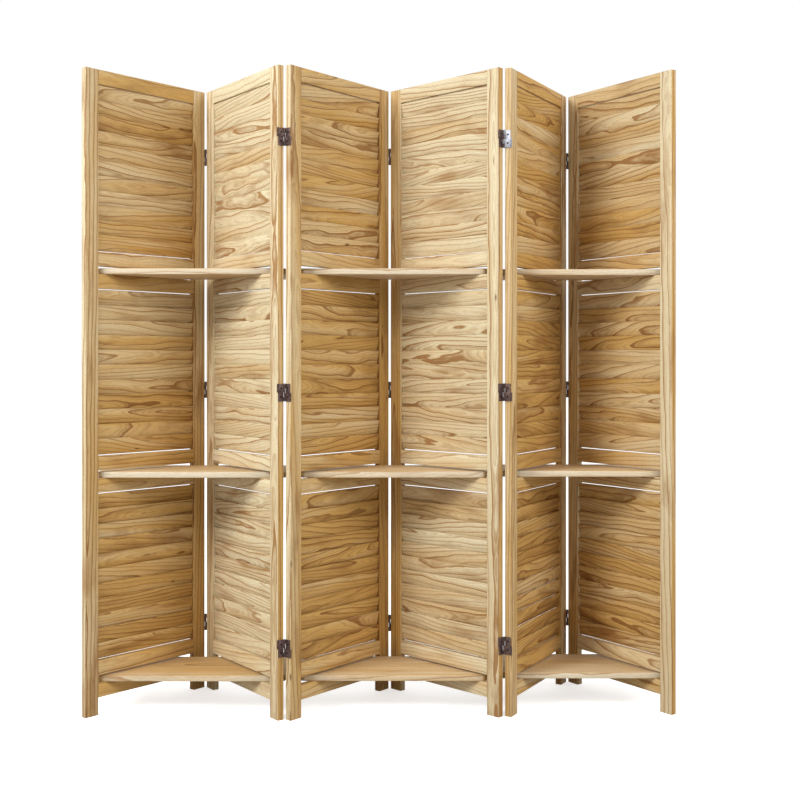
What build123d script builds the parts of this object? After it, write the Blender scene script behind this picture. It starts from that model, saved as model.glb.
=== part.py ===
from build123d import *
import os
from math import cos, radians, sin

# Folding screen of six louvred wood panels, standing in a zigzag of three bays that open to the
# front (-Y), with three levels of loose shelf boards laid through slots in the panels.
# Millimetres, +Z up. Origin: the floor point under the middle of the standing screen.

# Panels
panel_width = 400
panel_height = 1700
panel_thickness = 18
stile_width = 40
rail_width = 38
edge_break = 0.8
foot_height = 46
slot_height = 21

# Louvres
slats_per_section = 11
slat_thickness = 5.5
slat_lap = 0.6
slat_tilt = 12
section_gap = 4

# Angle of each panel to the depth direction, from the left end of the screen to the right
panel_angles = (41, 36, 39, 45, 29, 34)

# Shelf boards
shelf_length = 500
shelf_depth = 205
shelf_thickness = 16
shelf_corner = 15
shelf_seat_gap = 0.3
shelf_front_gap = 3
shelf_end_gap = 4
shelf_shift = 2

# Double-action hinges, three on each joint
hinge_height = 46
hinge_inset = 186
end_gap = 5
pin_proud = 1.5
knuckle_radius = 2.3
barrel_sides = 8
pin_radius = 1.2
pin_head_radius = 1.9
pin_head_height = 0.8
pin_fit = 0.02
turn_clearance = 0.25
leaf_thickness = 1.2
link_thickness = 1.2
knuckle_gap = 0.3

os.makedirs("parts", exist_ok=True)

# Sizes that follow
opening_width = panel_width - 2 * stile_width
rail_count = 7
slot_count = 3
section_height = (
    panel_height - foot_height - rail_count * rail_width - slot_count * slot_height
) / slot_count
bay_step = 2 * rail_width + slot_height + section_height
slot_bottoms = [foot_height + rail_width + level * bay_step for level in range(slot_count)]
lower_rails = [bottom - rail_width for bottom in slot_bottoms]
upper_rails = [bottom + slot_height for bottom in slot_bottoms]
rail_bottoms = lower_rails + upper_rails + [panel_height - rail_width]
section_bottoms = [bottom + slot_height + rail_width for bottom in slot_bottoms]
slat_stack = section_height - 2 * section_gap
slat_end = slat_lap * cos(radians(slat_tilt)) + slat_thickness * sin(radians(slat_tilt))
slat_pitch = (slat_stack - slat_end) / (slats_per_section - 1 + cos(radians(slat_tilt)))
slat_width = slat_pitch + slat_lap
slat_rise = slat_width * cos(radians(slat_tilt)) + slat_thickness * sin(radians(slat_tilt))
pin_reach = end_gap / 2
quarter = hinge_height / 4
plate_inset = knuckle_radius - pin_proud + knuckle_gap
corner_ratio = 1 / cos(radians(180 / barrel_sides))
tight_bore = (pin_radius + pin_fit) * corner_ratio
free_bore = (pin_radius + turn_clearance) * corner_ratio
hinge_levels = (hinge_inset, panel_height / 2, panel_height - hinge_inset)


def direction(turn):
    return Vector(cos(radians(turn)), sin(radians(turn)))


# Plan of the zigzag: every panel's own frame runs X from its left end, Y from its inner face
# to its outer face. Back joints turn about a pin at the inner face, front joints at the outer.
turns = [90 - a if i % 2 == 0 else a - 90 for i, a in enumerate(panel_angles)]
inner_pin = -pin_proud
outer_pin = panel_thickness + pin_proud
joint_sides = [inner_pin if i % 2 == 0 else outer_pin for i in range(len(turns) - 1)]
starts = [Vector(0, 0)]
pins = []
for i, side in enumerate(joint_sides):
    along, across = direction(turns[i]), direction(turns[i] + 90)
    pin = starts[i] + along * (panel_width + pin_reach) + across * side
    along, across = direction(turns[i + 1]), direction(turns[i + 1] + 90)
    pins.append(pin)
    starts.append(pin + along * pin_reach - across * side)


def in_plan(i, x, y):
    return starts[i] + direction(turns[i]) * x + direction(turns[i] + 90) * y


# The screen's outline in plan puts its middle over the origin
outline = [
    in_plan(i, x, y)
    for i in range(len(turns))
    for x in (0, panel_width)
    for y in (0, panel_thickness)
]
barrels = []
for i, side in enumerate(joint_sides):
    idle = panel_thickness - side
    for pin in (pins[i], in_plan(i, panel_width + pin_reach, idle), in_plan(i + 1, -pin_reach, idle)):
        barrels += [pin + Vector(dx, dy) for dx in (-knuckle_radius, knuckle_radius)
                    for dy in (-knuckle_radius, knuckle_radius)]
reach_x = [p.X for p in outline + barrels]
reach_y = [p.Y for p in outline + barrels]
middle = Vector((min(reach_x) + max(reach_x)) / 2, (min(reach_y) + max(reach_y)) / 2)
starts = [p - middle for p in starts]
pins = [p - middle for p in pins]
frames = [
    Plane(origin=(p.X, p.Y, 0), x_dir=(direction(t).X, direction(t).Y, 0), z_dir=(0, 0, 1))
    for p, t in zip(starts, turns)
]


def save(piece, name):
    piece.part.label = name
    export_step(piece.part, f"parts/{name}.step")


# Stiles: full-height uprights with broken long edges, which end as the screen's feet
def make_stile(frame, left_edge):
    with BuildPart(frame) as stile:
        with Locations((left_edge + stile_width / 2, panel_thickness / 2, panel_height / 2)):
            Box(stile_width, panel_thickness, panel_height)
        chamfer(stile.edges().filter_by(Axis.Z), edge_break)
    return stile


for i, frame in enumerate(frames):
    save(make_stile(frame, 0), f"panel_{i + 1}_stile_left")
    save(make_stile(frame, panel_width - stile_width), f"panel_{i + 1}_stile_right")


# Rails: seven cross rails, in pairs with a shelf slot between them and one along the top
for i, frame in enumerate(frames):
    with BuildPart(frame) as rails:
        with Locations([(panel_width / 2, panel_thickness / 2, z + rail_width / 2) for z in rail_bottoms]):
            Box(opening_width, panel_thickness, rail_width)
    save(rails, f"panel_{i + 1}_rails")


# Louvres: lapped slats between the stiles, top edge to the inner face, bottom edge to the outer
slat_places = [
    Location(
        (panel_width / 2, panel_thickness / 2, z + section_gap + slat_rise / 2 + n * slat_pitch),
        (slat_tilt, 0, 0),
    )
    for z in section_bottoms
    for n in range(slats_per_section)
]
for i, frame in enumerate(frames):
    with BuildPart(frame) as louvers:
        with Locations(slat_places):
            Box(opening_width, slat_thickness, slat_width)
    save(louvers, f"panel_{i + 1}_louvers")


# Hinges. Each has two leaves on the end faces and two crossing links of half height. The upper
# link turns with the left panel's leaf and the lower link with the right panel's leaf, so that
# the joint folds either way from straight. Quarters of the height are counted from the bottom.
def prism(frame, x, y, low, height, radius, mode=Mode.ADD):
    with BuildSketch(frame.offset(low)) as profile:
        with Locations((x, y)):
            RegularPolygon(radius, barrel_sides)
    extrude(profile.sketch, amount=height, mode=mode)


def quarter_bottom(z, index):
    return z - hinge_height / 2 + index * quarter


def knuckle(frame, x, y, z, index, bore):
    low = quarter_bottom(z, index)
    prism(frame, x, y, low + knuckle_gap / 2, quarter - knuckle_gap, knuckle_radius)
    if bore:
        prism(frame, x, y, low, quarter, bore, Mode.SUBTRACT)


def end_of(right_end):
    return (panel_width, 1) if right_end else (0, -1)


def leaf_plate(frame, right_end, side, z, turning_quarter, idle_quarter, bore):
    face, out = end_of(right_end)
    idle = panel_thickness - side
    x_plate = face + out * leaf_thickness / 2
    with Locations((x_plate, panel_thickness / 2, z)):
        Box(leaf_thickness, panel_thickness - 2 * plate_inset, hinge_height)
    for pin_y, index in ((side, turning_quarter), (idle, idle_quarter)):
        plate_y = plate_inset if pin_y < 0 else panel_thickness - plate_inset
        with Locations((x_plate, (pin_y + plate_y) / 2, quarter_bottom(z, index) + quarter / 2)):
            Box(leaf_thickness, abs(pin_y - plate_y), quarter - knuckle_gap)
    knuckle(frame, face + out * pin_reach, side, z, turning_quarter, bore)
    knuckle(frame, face + out * pin_reach, idle, z, idle_quarter, None)


def link_plate(frame, right_end, side, z, own_quarter, leaf_quarter, bore):
    face, out = end_of(right_end)
    idle = panel_thickness - side
    x = face + out * pin_reach
    z_own = quarter_bottom(z, own_quarter) + quarter / 2
    z_leaf = quarter_bottom(z, leaf_quarter) + quarter / 2
    with Locations((x, panel_thickness / 2, z_own)):
        Box(link_thickness, abs(idle - side), quarter - knuckle_gap)
    with Locations((x, panel_thickness / 2, (z_own + z_leaf) / 2)):
        Box(link_thickness, panel_thickness - 2 * plate_inset, 2 * quarter - knuckle_gap)
    knuckle(frame, x, side, z, own_quarter, bore)
    knuckle(frame, x, idle, z, own_quarter, None)


# The left panel's pieces grip the pins, and the right panel's knuckles turn on them with clearance
for i, frame in enumerate(frames):
    ends = []
    if i < len(joint_sides):
        ends.append((True, joint_sides[i], 0, 3, 2, tight_bore))
    if i > 0:
        ends.append((False, joint_sides[i - 1], 3, 0, 1, free_bore))
    with BuildPart(frame) as leaves:
        for right_end, side, turning, idle, own, bore in ends:
            for z in hinge_levels:
                leaf_plate(frame, right_end, side, z, turning, idle, bore)
    save(leaves, f"panel_{i + 1}_hinge_leaves")
    with BuildPart(frame) as links:
        for right_end, side, turning, idle, own, bore in ends:
            for z in hinge_levels:
                link_plate(frame, right_end, side, z, own, idle, bore)
    save(links, f"panel_{i + 1}_hinge_links")

# Hinge pins with a head at the top, carried by the panel on the left of each joint
for i, side in enumerate(joint_sides):
    x = panel_width + pin_reach
    shank = hinge_height + 2 * knuckle_gap
    with BuildPart(frames[i]) as hinge_pins:
        with Locations([(x, side, z) for z in hinge_levels]):
            Cylinder(pin_radius, shank)
        for z in hinge_levels:
            prism(frames[i], x, side, z + shank / 2, pin_head_height, pin_head_radius)
    save(hinge_pins, f"panel_{i + 1}_hinge_pins")

# Shelf boards: plain boards with rounded corners, lying through the slots of both panels of a
# bay, their front edge just behind the front stiles
apexes = [pins[bay * 2] for bay in range(3)]
board_x = [
    apexes[0].X + shelf_shift,
    apexes[2].X - shelf_length - shelf_end_gap,
    apexes[2].X,
]
board_y = []
for bay in range(3):
    left, right = 2 * bay, 2 * bay + 1
    corner_left = in_plan(left, stile_width, panel_thickness).Y
    corner_right = in_plan(right, panel_width - stile_width, panel_thickness).Y
    front = max(corner_left, corner_right) + shelf_front_gap
    board_y.append(front + shelf_depth / 2)
level_names = ("lower", "middle", "upper")
for bay in range(3):
    for level, bottom in enumerate(slot_bottoms):
        with BuildPart() as board:
            with BuildSketch(Plane.XY.offset(bottom + shelf_seat_gap)):
                with Locations((board_x[bay], board_y[bay])):
                    RectangleRounded(shelf_length, shelf_depth, shelf_corner)
            extrude(amount=shelf_thickness)
        save(board, f"shelf_{bay + 1}_{level_names[level]}")

for name, pin in zip(("1-2", "2-3", "3-4", "4-5", "5-6"), pins):
    print("joint", name, "pin at", round(pin.X, 3), round(pin.Y, 3))
print("slat pitch", round(slat_pitch, 2), "slat width", round(slat_width, 2))
print("slot bottoms", [round(z, 2) for z in slot_bottoms])
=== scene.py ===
import math
import random
from collections import namedtuple

import bmesh
import bpy
import numpy as np
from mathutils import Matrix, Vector
from mathutils.bvhtree import BVHTree


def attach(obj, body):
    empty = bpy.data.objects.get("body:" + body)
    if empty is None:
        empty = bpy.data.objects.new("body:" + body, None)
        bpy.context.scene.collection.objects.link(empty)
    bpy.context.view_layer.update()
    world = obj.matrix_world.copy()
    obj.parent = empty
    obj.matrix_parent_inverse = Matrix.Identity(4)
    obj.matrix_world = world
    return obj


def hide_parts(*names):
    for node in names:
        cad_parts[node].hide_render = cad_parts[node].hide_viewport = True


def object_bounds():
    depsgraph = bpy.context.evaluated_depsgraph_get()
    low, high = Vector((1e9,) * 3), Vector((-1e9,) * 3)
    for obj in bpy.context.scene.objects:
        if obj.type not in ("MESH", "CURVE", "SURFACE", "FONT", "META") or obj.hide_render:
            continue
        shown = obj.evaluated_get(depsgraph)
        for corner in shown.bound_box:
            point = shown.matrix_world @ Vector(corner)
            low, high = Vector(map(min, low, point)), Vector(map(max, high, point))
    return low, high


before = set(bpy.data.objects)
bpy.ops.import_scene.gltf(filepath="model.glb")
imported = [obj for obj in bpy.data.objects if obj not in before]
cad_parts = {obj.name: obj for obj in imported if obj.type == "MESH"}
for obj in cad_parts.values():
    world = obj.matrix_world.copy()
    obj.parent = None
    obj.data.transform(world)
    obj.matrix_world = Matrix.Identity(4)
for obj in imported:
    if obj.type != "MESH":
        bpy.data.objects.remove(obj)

# Folding screen of louvred wood panels with shelf boards. Every wooden piece takes its shape from
# its CAD node, gets eased edges, and carries the place of its grain inside the log it was cut
# from, so that each slat, rail, stile and board has its own figure. Metres throughout.

cad_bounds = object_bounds()

# Edges
weld_distance = 1e-5
flat_angle = math.radians(1)
sharp_angle = math.radians(30)
slat_edge = 0.0009
rail_edge = 0.0006
stile_edge = 0.0004
board_edge = 0.0015
metal_edge = 0.00035
edge_segments = 2

panel_count = 6
smooth_angle = math.radians(40)

# How much wider a slat is than its solid, and what the first and last of a section add to it
slats_in_section = 11
slat_spread = 0.0014
end_slat_spread = 0.0019

# Where a board was cut from its log: the start along it, the scale of its rings, how far the pith
# lies across and through it, and how its length leans from the pith
log_length = 40
ring_scale = (0.7, 1.5)
pith_across = 0.040
pith_through = (0.008, 0.050)
lean_across = 0.12
lean_through = 0.045

# The one bright hinge plate, its paler metal a painted reflection, is the upper left one of this panel
bright_panel = 5
top_hinge_height = 1.3

# Hinge screws, two in each leaf. Where a link covers the leaf they lie almost flush on the link.
screw_offset = 0.0114
reach_outside = 0.02
screw_sides = 16
screw_radius = 0.0027
screw_height = 0.00045
sunk_screw_height = 0.00006
shoulder_share = 0.8
rim_share = 0.68
slot_floor_share = 0.2
slot_length = 0.0015
slot_width = 0.00035

# Camera, as fitted to the photograph of 800 by 800 pixels
image_side = 800
focal_pixels = 1194.9
principal_x = 395.84
horizon_y = 363.15
sensor_width = 36
eye = (0.0415, -3.2895, 0.9265)

# Light
key_watts, key_size = 184, 1.9
fill_watts, fill_size = 112, 2.2
sky_strength = 0.58
backdrop_strength = 1.0
floor_glow = 0.66
floor_size = 60


# Shader graphs
def srgb(red, green, blue):
    """A screen colour of 0 to 255 as the linear values that shaders take."""
    def linear(value):
        value /= 255
        return value / 12.92 if value <= 0.04045 else ((value + 0.055) / 1.055) ** 2.4
    return (linear(red), linear(green), linear(blue), 1.0)


class Graph:
    """A material's node tree, with a short call for each kind of node used here."""

    def __init__(self, name):
        self.material = bpy.data.materials.new(name)
        self.material.use_nodes = True
        self.tree = self.material.node_tree
        self.shader = self.tree.nodes["Principled BSDF"]
        self.output = self.tree.nodes["Material Output"]

    def feed(self, socket, value):
        if isinstance(value, bpy.types.NodeSocket):
            self.tree.links.new(value, socket)
        elif value is not None:
            socket.default_value = value

    def node(self, kind, *values, **settings):
        node = self.tree.nodes.new(kind)
        for key, value in settings.items():
            setattr(node, key, value)
        for socket, value in zip(node.inputs, values):
            self.feed(socket, value)
        return node

    def attribute(self, name):
        return self.node("ShaderNodeAttribute", attribute_name=name).outputs["Vector"]

    def math(self, operation, *values, clamp=False):
        return self.node("ShaderNodeMath", *values, operation=operation, use_clamp=clamp).outputs[0]

    def vector(self, operation, *values):
        node = self.node("ShaderNodeVectorMath", *values, operation=operation)
        return node.outputs["Value" if operation == "LENGTH" else "Vector"]

    def scale(self, vector, factors):
        return self.vector("MULTIPLY", vector, factors)

    def parts(self, vector):
        return self.node("ShaderNodeSeparateXYZ", vector).outputs

    def noise(self, vector, detail=2.0, roughness=0.5):
        node = self.node("ShaderNodeTexNoise")
        self.feed(node.inputs["Vector"], vector)
        node.inputs["Scale"].default_value = 1.0
        node.inputs["Detail"].default_value = detail
        node.inputs["Roughness"].default_value = roughness
        return node.outputs

    def dice(self, value):
        """A number from 0 to 1 that is fixed for each whole value."""
        node = self.node("ShaderNodeTexWhiteNoise", noise_dimensions="1D")
        self.feed(node.inputs["W"], value)
        return node.outputs["Value"]

    def ramp(self, value, stops):
        node = self.node("ShaderNodeValToRGB", value)
        elements = node.color_ramp.elements
        while len(elements) < len(stops):
            elements.new(0.5)
        for element, (place, shade) in zip(elements, stops):
            element.position = place
            element.color = (shade, shade, shade, 1) if isinstance(shade, float) else shade
        return node.outputs["Color"]

    def span(self, value, low, high):
        """Maps 0 to 1 onto low to high."""
        return self.math("ADD", self.math("MULTIPLY", value, high - low), low)

    def mix(self, factor, a, b, blend="MIX"):
        node = self.node("ShaderNodeMix", data_type="RGBA", blend_type=blend)
        for name, value in (("Factor_Float", factor), ("A_Color", a), ("B_Color", b)):
            socket = next(s for s in node.inputs if s.identifier == name)
            self.feed(socket, value)
        return next(s for s in node.outputs if s.identifier == "Result_Color")

    def bump(self, height, depth, strength=1.0):
        node = self.node("ShaderNodeBump")
        node.inputs["Strength"].default_value = strength
        node.inputs["Distance"].default_value = depth
        self.feed(node.inputs["Height"], height)
        return node.outputs["Normal"]


# Wood. "grain" is the point's place in the log: along it, and the two ways across it from the
# pith. "tone" is the board's warmth from cream to brown, its ring strength and its own number.
ring_profile = [(0.0, 0.20), (0.07, 0.0), (0.50, 0.04), (0.78, 0.30),
                (0.90, 1.0), (0.96, 1.0), (1.0, 0.20)]
fine_profile = [(0.4, 0.0), (0.9, 0.34), (1.0, 0.0)]
fine_lines_per_ring = 4.0
ring_ripple = 0.40
dice_spread = 57.0
darkest_line = 0.88
pore_cover = 0.35
cloud_reach = 0.7
knot_threshold = 0.90
knot_colour = srgb(92, 58, 28)


def ring_darkness(g, grain, board, ring, wave):
    """How much late wood shows, from the rings about the pith and the fine lines between them."""
    slow = g.noise(g.scale(grain, (3.0, 11.0, 11.0)), detail=2.0)["Color"]
    wander = g.scale(g.vector("SUBTRACT", slow, (0.5, 0.5, 0.5)), (0.0, wave, wave))
    ripple = g.noise(g.scale(grain, (16.0, 70.0, 70.0)), detail=2.0)["Fac"]
    place = g.vector("ADD", grain, wander)
    radius = g.vector("LENGTH", g.scale(place, (0.0, 1.0, 1.0)))
    phase = g.math("ADD", g.math("DIVIDE", radius, ring), g.math("MULTIPLY", ripple, ring_ripple))
    own = g.dice(g.math("ADD", g.math("FLOOR", phase), g.math("MULTIPLY", board[2], dice_spread)))
    strength = g.math("MULTIPLY", g.span(own, 0.35, 1.25), board[1])
    line = g.ramp(g.math("FRACT", phase), ring_profile)
    fine = g.ramp(g.math("FRACT", g.math("MULTIPLY", phase, fine_lines_per_ring)), fine_profile)
    return g.math("ADD", g.math("MULTIPLY", line, strength), g.math("MULTIPLY", fine, board[1]), clamp=True)


def knots(g, grain):
    cells = g.node("ShaderNodeTexVoronoi")
    g.feed(cells.inputs["Vector"], g.scale(grain, (7.0, 24.0, 24.0)))
    cells.inputs["Scale"].default_value = 1.0
    chosen = g.math("GREATER_THAN", g.parts(cells.outputs["Color"])[0], knot_threshold)
    return g.math("MULTIPLY", g.ramp(cells.outputs["Distance"], [(0.02, 0.9), (0.09, 0.0)]), chosen)


def make_wood(name, shades, lines, ring, wave, roughness):
    g = Graph(name)
    grain = g.attribute("grain")
    board = g.parts(g.attribute("tone"))
    dark = ring_darkness(g, grain, board, ring, wave)

    cloud = g.math("SUBTRACT", g.noise(g.scale(grain, (2.2, 30.0, 30.0)), detail=3.0)["Fac"], 0.5)
    warm = g.math("ADD", board[0], g.math("MULTIPLY", cloud, cloud_reach), clamp=True)
    smoke = g.noise(g.scale(grain, (5.0, 24.0, 24.0)), detail=4.0)["Fac"]
    stain = g.ramp(smoke, [(0.55, 0.0), (0.73, 0.60)])
    early, late = (g.ramp(warm, list(zip((0.0, 0.5, 1.0), colours))) for colours in (shades, lines))
    wood = g.mix(g.math("MULTIPLY", stain, board[1]), early, late)
    wood = g.mix(g.math("MULTIPLY", dark, darkest_line), wood, late)
    wood = g.mix(knots(g, grain), wood, knot_colour)

    fibre = g.noise(g.scale(grain, (40.0, 1300.0, 1300.0)), detail=3.0, roughness=0.6)["Fac"]
    pores = g.noise(g.scale(grain, (110.0, 2000.0, 2000.0)), detail=1.0)["Fac"]
    pores = g.ramp(pores, [(0.58, 0.0), (0.68, 1.0)])
    wood = g.mix(1.0, wood, g.ramp(fibre, [(0.3, 0.88), (0.7, 1.0)]), blend="MULTIPLY")
    wood = g.mix(g.math("MULTIPLY", pores, pore_cover), wood, late)
    g.feed(g.shader.inputs["Base Color"], wood)
    g.feed(g.shader.inputs["Roughness"], g.span(fibre, roughness - 0.08, roughness + 0.08))
    g.shader.inputs["Specular IOR Level"].default_value = 0.30
    relief = g.math("SUBTRACT", g.math("MULTIPLY", fibre, 0.5), g.math("MULTIPLY", dark, 0.8))
    g.feed(g.shader.inputs["Normal"], g.bump(relief, 0.0003, 0.6))
    return g.material


def make_bronze(name, deep, worn, roughness):
    g = Graph(name)
    place = g.node("ShaderNodeTexCoord").outputs["Object"]
    patches = g.noise(g.scale(place, (420.0, 420.0, 420.0)), detail=4.0, roughness=0.65)["Fac"]
    shade = g.ramp(patches, [(0.35, deep), (0.68, worn)])
    g.feed(g.shader.inputs["Base Color"], shade)
    g.feed(g.shader.inputs["Roughness"], g.span(patches, roughness - 0.1, roughness + 0.15))
    g.shader.inputs["Metallic"].default_value = 0.85
    g.feed(g.shader.inputs["Normal"], g.bump(patches, 0.0001, 0.5))
    return g.material


cream, tan, brown = srgb(234, 222, 186), srgb(208, 166, 96), srgb(166, 119, 56)
wood_shades = (cream, tan, brown)
shelf_shades = (srgb(222, 209, 182), tan, brown)
lines = (srgb(160, 112, 56), srgb(130, 84, 36), srgb(98, 60, 25))
slat_wood = make_wood("slat_wood", wood_shades, lines, 0.0092, 0.038, 0.62)
rail_wood = make_wood("rail_wood", wood_shades, lines, 0.0100, 0.030, 0.62)
stile_wood = make_wood("stile_wood", wood_shades, lines, 0.0090, 0.016, 0.60)
shelf_wood = make_wood("shelf_wood", shelf_shades, lines, 0.0100, 0.018, 0.60)
bronze = make_bronze("hinge_bronze", srgb(42, 30, 28), srgb(112, 90, 84), 0.48)
# The paler metal of that one leaf is a painted reflection
painted_reflection_metal = make_bronze("hinge_painted_reflection", srgb(104, 104, 112), srgb(182, 184, 192), 0.50)
iron = make_bronze("hinge_screw_iron", srgb(20, 17, 16), srgb(44, 38, 36), 0.65)


# Pieces from the CAD nodes
def welded(node):
    mesh = bmesh.new()
    mesh.from_mesh(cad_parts[node].data)
    bmesh.ops.remove_doubles(mesh, verts=mesh.verts, dist=weld_distance)
    bmesh.ops.dissolve_limit(mesh, angle_limit=flat_angle, verts=mesh.verts, edges=mesh.edges)
    return mesh


def ease_edges(mesh, width):
    sharp = [e for e in mesh.edges if len(e.link_faces) == 2 and e.calc_face_angle() > sharp_angle]
    bmesh.ops.bevel(mesh, geom=sharp, offset=width, segments=edge_segments, profile=0.5,
                    affect="EDGES", clamp_overlap=True)


def islands(mesh):
    """The vertices of each separate solid, from the lowest solid to the highest."""
    left, found = dict.fromkeys(mesh.verts), []
    while left:
        stack, group = [left.popitem()[0]], []
        while stack:
            vertex = stack.pop()
            group.append(vertex)
            for edge in vertex.link_edges:
                other = edge.other_vert(vertex)
                if other in left:
                    del left[other]
                    stack.append(other)
        found.append(group)
    return sorted(found, key=lambda group: sum(v.co.z for v in group) / len(group))


def own_axes(group):
    """A solid's middle, its directions from the longest to the shortest, and its points in them."""
    points = np.array([v.co for v in group])
    middle = (points.min(axis=0) + points.max(axis=0)) / 2
    axes = np.linalg.eigh(np.cov((points - middle).T))[1][:, ::-1]
    return middle, axes, (points - middle) @ axes


def spread_slats(mesh):
    for number, group in enumerate(islands(mesh)):
        spread = slat_spread
        if number % slats_in_section in (0, slats_in_section - 1):
            spread += end_slat_spread
        axes, places = own_axes(group)[1:]
        for vertex, place in zip(group, places):
            vertex.co += Vector(axes[:, 1]) * math.copysign(spread / 2, place[1])


# A board's warmth, from 0 for cream to 1 for brown, on its faces and on its two long edges, the painted
# shade it gains towards the floor, how strong its rings are, and how far they lean
Tone = namedtuple("Tone", "face edge foot rings lean")


def cut_from_log(mesh, name, tones):
    """Gives every board its place in a log, along its own length, and its own tone."""
    grain = mesh.verts.layers.float_vector.new("grain")
    tone = mesh.verts.layers.float_vector.new("tone")
    for number, group in enumerate(islands(mesh)):
        dice = random.Random(f"{name} {number}")
        places = own_axes(group)[2]
        half_width = abs(places[:, 1]).max()
        start = dice.uniform(0, log_length)
        width = dice.uniform(*ring_scale)
        aside = dice.uniform(-pith_across, pith_across)
        deep = dice.choice((-1, 1)) * dice.uniform(*pith_through)
        lean_aside = dice.uniform(-lean_across, lean_across)
        lean_deep = dice.uniform(-lean_through, lean_through)
        own, board = dice.random(), tones(dice)
        for vertex, (a, b, c) in zip(group, places):
            across = (b + aside + board.lean * lean_aside * a) / width
            through = (c + deep + board.lean * lean_deep * a) / width
            # On the stiles the long edges carry painted light on the left stiles and painted shade on the
            # right ones
            warmth = board.edge if abs(b) > half_width - weld_distance else board.face
            # Painted shade: the wood grows darker towards the floor, by the board's foot share
            warmth += board.foot * (1 - vertex.co.z / cad_bounds[1][2])
            vertex[grain] = (a + start, across, through)
            vertex[tone] = (warmth, board.rings, own)


def finished(mesh, name, materials, body, nodes):
    data = bpy.data.meshes.new(name)
    mesh.to_mesh(data)
    mesh.free()
    for material in materials:
        data.materials.append(material)
    for face in data.polygons:
        face.use_smooth = True
    data.set_sharp_from_angle(angle=smooth_angle)
    piece = bpy.data.objects.new(name, data)
    bpy.context.scene.collection.objects.link(piece)
    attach(piece, body)
    if nodes:
        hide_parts(*nodes)


def wooden(node, material, slot, body, edge, tones):
    mesh = welded(node)
    if slot == "wood_louver":
        spread_slats(mesh)
    ease_edges(mesh, edge)
    cut_from_log(mesh, node, tones)
    finished(mesh, f"{node}_dressed", [material], body, [node])


# Warmth of the wood as the photograph shows it on each panel
# Partly the wood's own tone, partly painted shade: slats and rails of panels 1, 3 and 5, turned away from
# the key lamp, are warmer and darker
slat_warmth = (0.34, -0.02, 0.44, 0.04, 0.44, 0.30)
rail_warmth = (0.34, 0.04, 0.40, 0.10, 0.44, 0.32)
# The stiles' warmth is likewise partly their own tone and partly painted shade
stile_warmth = {
    "left": (0.28, 0.04, 0.32, 0.32, 0.28, 0.26),
    "right": (0.26, 0.0, 0.42, -0.02, 0.12, 0.04),
}
# Painted light and shade on the stiles' long edges: the left stiles' edges paler, as lit from the left, the
# right stiles' edges darker, as in shade
edge_light_and_shade = {"left": -0.24, "right": 0.42}
# Painted shade towards the floor, strongest on the back stiles in the corners between panels
front_foot_shade, back_foot_shade = 0.08, 0.25


def dress_panel(panel):
    body = f"panel_{panel}"

    def stile_tones(side):
        at_back = (panel % 2 == 1) == (side == "right")
        face = stile_warmth[side][panel - 1]

        def tones(dice):
            return Tone(face, edge=face + edge_light_and_shade[side], foot=back_foot_shade if at_back else front_foot_shade,
                        rings=dice.uniform(0.95, 1.4), lean=0.35)
        return tones

    def rail_tones(dice):
        face = rail_warmth[panel - 1] + dice.gauss(0, 0.07)
        return Tone(face, edge=face, foot=0.06, rings=dice.uniform(0.6, 1.0), lean=0.8)

    def slat_tones(dice):
        face = slat_warmth[panel - 1] + dice.gauss(0, 0.075)
        return Tone(face, edge=face, foot=0.12, rings=dice.uniform(0.8, 1.4), lean=1.0)

    for side in ("left", "right"):
        wooden(f"{body}_stile_{side}", stile_wood, "wood_stile", body, stile_edge, stile_tones(side))
    wooden(f"{body}_rails", rail_wood, "wood_rail", body, rail_edge, rail_tones)
    wooden(f"{body}_louvers", slat_wood, "wood_louver", body, slat_edge, slat_tones)


def shelf_tones(dice):
    face = 0.24 + dice.gauss(0, 0.04)
    return Tone(face, edge=0.02, foot=0.05, rings=dice.uniform(0.5, 0.8), lean=0.25)


for panel in range(1, panel_count + 1):
    dress_panel(panel)
for bay in (1, 2, 3):
    for level in ("lower", "middle", "upper"):
        node, body = f"shelf_{bay}_{level}", f"board_{bay}_{level}"
        wooden(node, shelf_wood, "wood_shelf", body, board_edge, shelf_tones)


# Hinges: the CAD plates and barrels with rounded edges, and two screws in each leaf
def middle_of(node):
    mesh = welded(node)
    middle = sum((v.co for v in mesh.verts), Vector()) / len(mesh.verts)
    mesh.free()
    return middle


def add_screw(mesh, seat, out, head):
    """A low round head with a cross slot, standing on its seat."""
    up = Vector((0, 0, 1))
    side = out.cross(up)

    def ring(radius, height):
        turns = [2 * math.pi * n / screw_sides for n in range(screw_sides)]
        return [mesh.verts.new(seat + out * height + (side * math.cos(t) + up * math.sin(t)) * radius)
                for t in turns]

    def cross(height):
        long, short = slot_length, slot_width
        corners = [(long, short), (short, short), (short, long), (-short, long), (-short, short),
                   (-long, short), (-long, -short), (-short, -short), (-short, -long), (short, -long),
                   (short, -short), (long, -short)]
        return [mesh.verts.new(seat + out * height + side * x + up * y) for x, y in corners]

    def wall(low, high):
        for n, vertex in enumerate(low):
            after = (n + 1) % len(low)
            mesh.faces.new((vertex, low[after], high[after], high[n]))

    foot, middle = ring(screw_radius, 0), ring(screw_radius * shoulder_share, head * shoulder_share)
    top = ring(screw_radius * rim_share, head)
    wall(foot, middle)
    wall(middle, top)
    mesh.faces.new(list(reversed(foot)))
    mouth, bottom = cross(head), cross(head * slot_floor_share)
    wall(mouth, bottom)
    mesh.faces.new(bottom)
    edges = []
    for loop in (top, mouth):
        for n, vertex in enumerate(loop):
            edges.append(mesh.edges.get((vertex, loop[(n + 1) % len(loop)])))
    bmesh.ops.triangle_fill(mesh, use_beauty=True, edges=edges, normal=out)


def metal(node, body, bright=None):
    mesh = welded(node)
    if bright:
        chosen = [group for group in islands(mesh) if bright(group)]
        for face in {f for group in chosen for v in group for f in v.link_faces}:
            face.material_index = 1
    ease_edges(mesh, metal_edge)
    finished(mesh, f"{node}_dressed", [bronze, painted_reflection_metal], body, [node])


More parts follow.
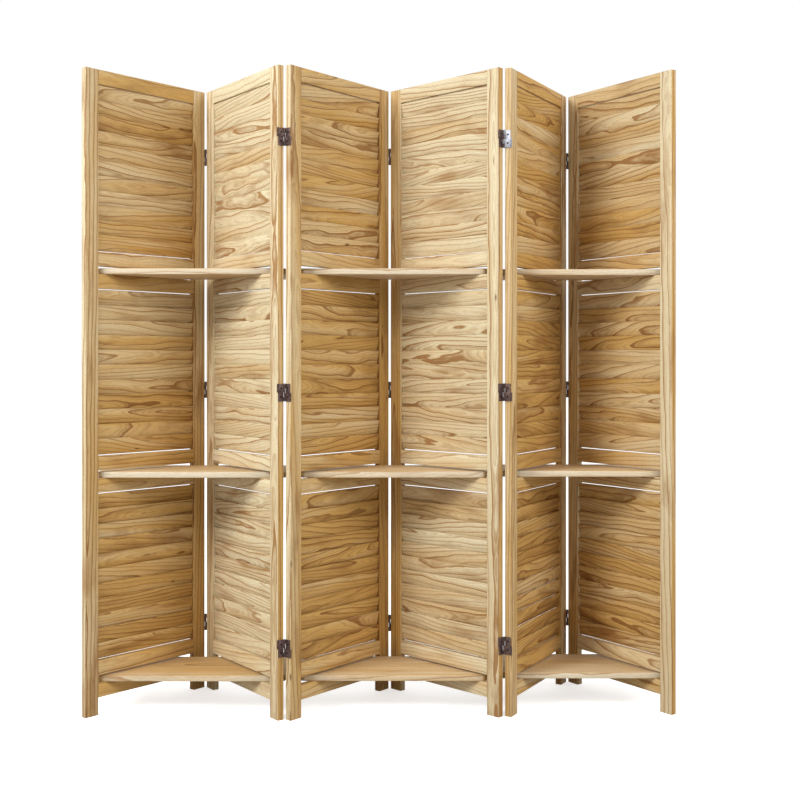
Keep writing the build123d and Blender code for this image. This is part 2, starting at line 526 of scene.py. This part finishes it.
def dress_hinges(panel):
    body = f"panel_{panel}"
    left, right = middle_of(f"{body}_stile_left"), middle_of(f"{body}_stile_right")
    middle, along = (left + right) / 2, (right - left).normalized()
    leaves, plates = welded(f"{body}_hinge_leaves"), welded(f"{body}_hinge_leaves")
    plates.from_mesh(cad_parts[f"{body}_hinge_links"].data)
    bare, covered = BVHTree.FromBMesh(leaves), BVHTree.FromBMesh(plates)
    screws = bmesh.new()
    for group in islands(leaves):
        place = Vector(own_axes(group)[0])
        reach = (place - middle).dot(along)
        out = along * math.copysign(1, reach)
        for lift in (-screw_offset, screw_offset):
            spot = Vector((middle.x, middle.y, place.z + lift)) + out * (abs(reach) + reach_outside)
            leaf = bare.ray_cast(spot, -out, 2 * reach_outside)[0]
            seat = covered.ray_cast(spot, -out, 2 * reach_outside)[0]
            under_link = (seat - leaf).length > screw_height
            add_screw(screws, seat, out, sunk_screw_height if under_link else screw_height)
    leaves.free()
    plates.free()
    bmesh.ops.recalc_face_normals(screws, faces=screws.faces)
    finished(screws, f"{body}_hinge_screws", [iron], body, [])

    def upper_left(group):
        place = Vector(own_axes(group)[0])
        return (place - middle).dot(along) < 0 and place.z > top_hinge_height
    bright = upper_left if panel == bright_panel else None
    metal(f"{body}_hinge_leaves", body, bright)
    metal(f"{body}_hinge_links", body, bright)
    if panel < panel_count:
        metal(f"{body}_hinge_pins", body)


for panel in range(1, panel_count + 1):
    dress_hinges(panel)


# Camera
scene = bpy.context.scene
camera = bpy.data.objects.new("camera", bpy.data.cameras.new("camera"))
camera.location = eye
camera.rotation_euler = (math.radians(90), 0, 0)
camera.data.sensor_width = sensor_width
camera.data.lens = focal_pixels / image_side * sensor_width
camera.data.shift_x = (image_side / 2 - principal_x) / image_side
camera.data.shift_y = (horizon_y - image_side / 2) / image_side
scene.collection.objects.link(camera)
scene.camera = camera


# Light: a wide soft lamp from the front left, a weaker one from the right, and a white world
def lamp(name, place, aim, size, watts):
    light = bpy.data.lights.new(name, "AREA")
    light.shape = "DISK"
    light.size = size
    light.energy = watts
    holder = bpy.data.objects.new(name, light)
    holder.location = place
    holder.rotation_euler = (Vector(aim) - Vector(place)).to_track_quat("-Z", "Y").to_euler()
    scene.collection.objects.link(holder)


lamp("key", (-3.2, -2.9, 3.4), (0, 0, 0.8), key_size, key_watts)
lamp("fill", (3.6, -2.9, 3.0), (0, 0, 0.7), fill_size, fill_watts)


def shows_backdrop(tree):
    """1 for the rays that see the white backdrop as it is: straight, mirrored or through glass."""
    paths = tree.nodes.new("ShaderNodeLightPath")
    seen = paths.outputs["Is Camera Ray"]
    for name in ("Is Glossy Ray", "Is Transmission Ray"):
        either = tree.nodes.new("ShaderNodeMath")
        either.operation = "MAXIMUM"
        tree.links.new(seen, either.inputs[0])
        tree.links.new(paths.outputs[name], either.inputs[1])
        seen = either.outputs[0]
    return seen


world = bpy.data.worlds.new("world")
world.use_nodes = True
scene.world = world
sky = world.node_tree
sky.nodes.clear()
choose = sky.nodes.new("ShaderNodeMixShader")
sky.links.new(shows_backdrop(sky), choose.inputs[0])
for socket, strength in ((1, sky_strength), (2, backdrop_strength)):
    shade = sky.nodes.new("ShaderNodeBackground")
    shade.inputs["Color"].default_value = (1, 1, 1, 1)
    shade.inputs["Strength"].default_value = strength
    sky.links.new(shade.outputs[0], choose.inputs[socket])
sky_output = sky.nodes.new("ShaderNodeOutputWorld")
sky.links.new(choose.outputs[0], sky_output.inputs["Surface"])

# Floor: white to the camera, with the screen's shadow still on it, and grey to the light it returns
floor_graph = Graph("floor_white")
floor_graph.shader.inputs["Base Color"].default_value = (0.86, 0.86, 0.86, 1)
floor_graph.shader.inputs["Roughness"].default_value = 0.9
floor_graph.shader.inputs["Specular IOR Level"].default_value = 0.0
glow = floor_graph.node("ShaderNodeEmission", (1, 1, 1, 1), floor_glow).outputs[0]
white = floor_graph.node("ShaderNodeAddShader", floor_graph.shader.outputs[0], glow).outputs[0]
grey = floor_graph.node("ShaderNodeBsdfDiffuse", (0.50, 0.50, 0.50, 1)).outputs[0]
shown = floor_graph.node("ShaderNodeMixShader", shows_backdrop(floor_graph.tree), grey, white).outputs[0]
floor_graph.feed(floor_graph.output.inputs["Surface"], shown)

bpy.ops.mesh.primitive_plane_add(size=floor_size, location=(0, 0, 0))
floor = bpy.context.active_object
floor.name = "floor"
floor.data.materials.append(floor_graph.material)

scene.view_settings.view_transform = "Standard"

bpy.context.view_layer.update()
